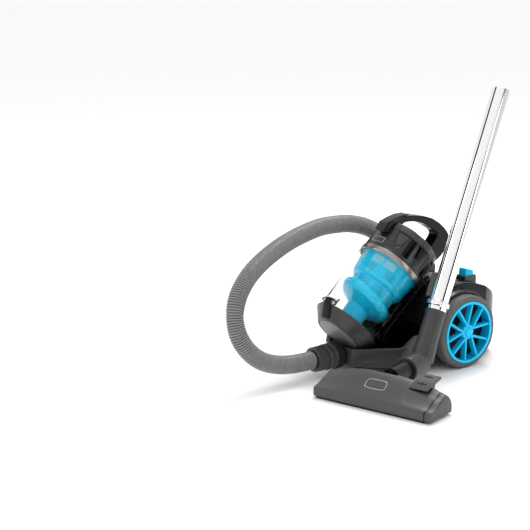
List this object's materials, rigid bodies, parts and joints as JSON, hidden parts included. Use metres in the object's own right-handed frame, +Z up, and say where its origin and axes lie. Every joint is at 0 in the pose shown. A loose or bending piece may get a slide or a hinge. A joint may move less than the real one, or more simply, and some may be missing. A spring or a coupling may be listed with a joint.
{
  "type": "canister vacuum cleaner",
  "caption": "Bagless canister vacuum cleaner: low tray on two spoked wheels, lift-off clear cyclone bin with a handled head, ribbed hose, telescopic chrome tube and pivoting floor tool.",
  "frame": {"origin": "on the floor, at the centre of the plan of everything but the hose, its cuff and the hand grip", "axes": "+Z up, -Y the canister's front, where the hose leaves it, +X the canister's left side, where the floor tool stands"},
  "size_m": [0.8314, 0.8543, 0.5773],
  "materials": {
    "dark_grey_plastic": "satin moulded plastic",
    "gloss_black_plastic": "polished",
    "matt_black_plastic": "fine matt grain",
    "cyan_plastic": "translucent satin",
    "clear_plastic": "clear, polished",
    "chrome": "mirror",
    "satin_metal": "satin",
    "grey_rubber": "matt",
    "hose_grey": "ribbed, satin",
    "filter_foam": "open foam",
    "bristle": "cut nylon bristle",
    "motor_metal": "plain"
  },
  "bodies": {
    "canister": {"chassis_tray": "dark_grey_plastic", "deck_liner": "matt_black_plastic", "bin_cradle": "gloss_black_plastic", "rear_housing": "dark_grey_plastic", "top_cover": "gloss_black_plastic", "exhaust_filter": "filter_foam", "motor": "motor_metal", "cord_outlet": "matt_black_plastic", "hose_socket": "matt_black_plastic", "axle_left": "motor_metal", "axle_right": "motor_metal", "hose": "hose_grey", "hose_cuff": "dark_grey_plastic", "hand_grip": "dark_grey_plastic"},
    "hatch": {"exhaust_cover": "dark_grey_plastic"},
    "fan": {"fan": "motor_metal"},
    "cord_reel": {"cord_reel": "matt_black_plastic"},
    "swivel_collar": {"swivel_collar": "matt_black_plastic"},
    "caster": {"caster_fork": "matt_black_plastic"},
    "caster_wheel": {"caster_wheel": "grey_rubber"},
    "wheel_left": {"wheel_rim_left": "cyan_plastic", "wheel_plate_left": "matt_black_plastic", "tyre_left": "grey_rubber"},
    "wheel_right": {"wheel_rim_right": "cyan_plastic", "wheel_plate_right": "matt_black_plastic", "tyre_right": "grey_rubber"},
    "power_pedal": {"power_pedal": "cyan_plastic"},
    "rewind_pedal": {"rewind_pedal": "cyan_plastic"},
    "bin": {"bin_cylinder": "clear_plastic", "bin_ring": "satin_metal", "bottom_lid": "dark_grey_plastic", "lid_hinge_pin": "motor_metal", "cyclone_shroud": "cyan_plastic", "mesh_screen": "cyan_plastic", "cyclone_skirt": "cyan_plastic", "cyclone_stem": "cyan_plastic", "vortex_finder": "matt_black_plastic"},
    "lid_latch": {"lid_latch": "matt_black_plastic"},
    "head": {"head_shell": "dark_grey_plastic", "head_cap": "dark_grey_plastic", "motor_filter": "filter_foam", "carry_handle": "dark_grey_plastic", "handle_pad": "matt_black_plastic", "badge_plate": "satin_metal"},
    "release_button": {"release_button": "cyan_plastic"},
    "floor_tool": {"nozzle_body": "dark_grey_plastic", "end_cap": "dark_grey_plastic", "sole_plate": "matt_black_plastic"},
    "brush_strip": {"brush_strip": "bristle"},
    "brush_pedal": {"brush_pedal": "dark_grey_plastic"},
    "roller_left": {"roller_left": "grey_rubber"},
    "roller_right": {"roller_right": "grey_rubber"},
    "knuckle": {"knuckle": "matt_black_plastic"},
    "neck": {"swivel_neck": "dark_grey_plastic", "inner_tube": "chrome"},
    "outer_tube": {"outer_tube": "chrome", "lock_collar": "chrome"},
    "lock_slider": {"lock_slider": "dark_grey_plastic"},
    "suction_slider": {"suction_slider": "gloss_black_plastic"}
  },
  "joints": [
    {"name": "wheel_left_spin", "type": "hinge", "parent": "canister", "child": "wheel_left", "pos_m": [0.0272, 0.1101, 0.077], "axis": [1, 0, 0], "continuous": true},
    {"name": "wheel_right_spin", "type": "hinge", "parent": "canister", "child": "wheel_right", "pos_m": [-0.2298, 0.1101, 0.077], "axis": [1, 0, 0], "continuous": true},
    {"name": "caster_swivel", "type": "hinge", "parent": "canister", "child": "caster", "pos_m": [-0.1013, -0.0799, 0.02], "axis": [0, 0, 1], "continuous": true},
    {"name": "caster_roll", "type": "hinge", "parent": "caster", "child": "caster_wheel", "pos_m": [-0.1013, -0.0719, 0.009], "axis": [1, 0, 0], "continuous": true},
    {"name": "power_press", "type": "slide", "parent": "canister", "child": "power_pedal", "axis": [0, 0, -1], "range_m": [0, 0.004], "stiffness_N_per_m": 600, "springref_m": -0.002},
    {"name": "rewind_press", "type": "slide", "parent": "canister", "child": "rewind_pedal", "axis": [0, 0, -1], "range_m": [0, 0.004], "stiffness_N_per_m": 600, "springref_m": -0.002},
    {"name": "bin_lift", "type": "slide", "parent": "canister", "child": "bin", "axis": [0, 0, 1], "range_m": [0, 0.25]},
    {"name": "head_lift", "type": "slide", "parent": "bin", "child": "head", "axis": [0, 0.7513, 0.66], "range_m": [0, 0.12]},
    {"name": "release_press", "type": "slide", "parent": "head", "child": "release_button", "axis": [0, -0.9979, 0.0645], "range_m": [0, 0.0025], "stiffness_N_per_m": 600, "springref_m": -0.002},
    {"name": "lid_latch_turn", "type": "hinge", "parent": "bin", "child": "lid_latch", "pos_m": [-0.1013, -0.15914, 0.12363], "axis": [1, 0, 0], "range_deg": [0, 40], "stiffness_Nm_per_rad": 0.2, "springref_deg": -8.59},
    {"name": "swivel_collar_turn", "type": "hinge", "parent": "canister", "child": "swivel_collar", "pos_m": [-0.1013, -0.1549, 0.04], "axis": [0, 1, 0], "continuous": true},
    {"name": "fan_spin", "type": "hinge", "parent": "canister", "child": "fan", "pos_m": [-0.0383, 0.1551, 0.09], "axis": [1, 0, 0], "continuous": true},
    {"name": "cord_reel_spin", "type": "hinge", "parent": "canister", "child": "cord_reel", "pos_m": [-0.1613, 0.1551, 0.09], "axis": [1, 0, 0], "continuous": true},
    {"name": "hatch_open", "type": "hinge", "parent": "canister", "child": "hatch", "pos_m": [-0.1013, 0.2001, 0.1512], "axis": [1, 0, 0], "range_deg": [0, 70]},
    {"name": "floor_tool_lift", "type": "slide", "parent": "canister", "child": "floor_tool", "axis": [0, 0, 1], "range_m": [0, 0.06]},
    {"name": "knuckle_pitch", "type": "hinge", "parent": "floor_tool", "child": "knuckle", "pos_m": [0.10075, -0.16673, 0.04], "axis": [0.9632, 0.2689, 0], "range_deg": [-8, 42]},
    {"name": "neck_swivel", "type": "hinge", "parent": "knuckle", "child": "neck", "pos_m": [0.07547, -0.07619, 0.05], "axis": [-0.2689, 0.9632, 0], "range_deg": [-5, 80]},
    {"name": "tube_extend", "type": "slide", "parent": "neck", "child": "outer_tube", "axis": [-0.1351, 0.4838, 0.8647], "range_m": [0, 0.3]},
    {"name": "lock_slide", "type": "slide", "parent": "outer_tube", "child": "lock_slider", "axis": [0.1351, -0.4838, -0.8647], "range_m": [0, 0.005], "stiffness_N_per_m": 600, "springref_m": -0.002},
    {"name": "brush_rock", "type": "hinge", "parent": "floor_tool", "child": "brush_pedal", "pos_m": [0.18177, -0.14826, 0.0465], "axis": [-0.9632, -0.2689, 0], "range_deg": [0, 12]},
    {"name": "brush_drop", "type": "slide", "parent": "floor_tool", "child": "brush_strip", "axis": [0, 0, -1], "range_m": [0, 0.004]},
    {"name": "roller_left_roll", "type": "hinge", "parent": "floor_tool", "child": "roller_left", "pos_m": [0.18663, -0.13964, 0.008], "axis": [0.9632, 0.2689, 0], "continuous": true},
    {"name": "roller_right_roll", "type": "hinge", "parent": "floor_tool", "child": "roller_right", "pos_m": [0.01326, -0.18804, 0.008], "axis": [0.9632, 0.2689, 0], "continuous": true},
    {"name": "suction_slide", "type": "slide", "parent": "canister", "child": "suction_slider", "axis": [-0.9841, 0.1775, 0], "range_m": [0, 0.012]}
  ],
  "couplings": [
    {"joint": "brush_drop", "follows": "brush_rock", "m_per_rad": 0.01862}
  ]
}
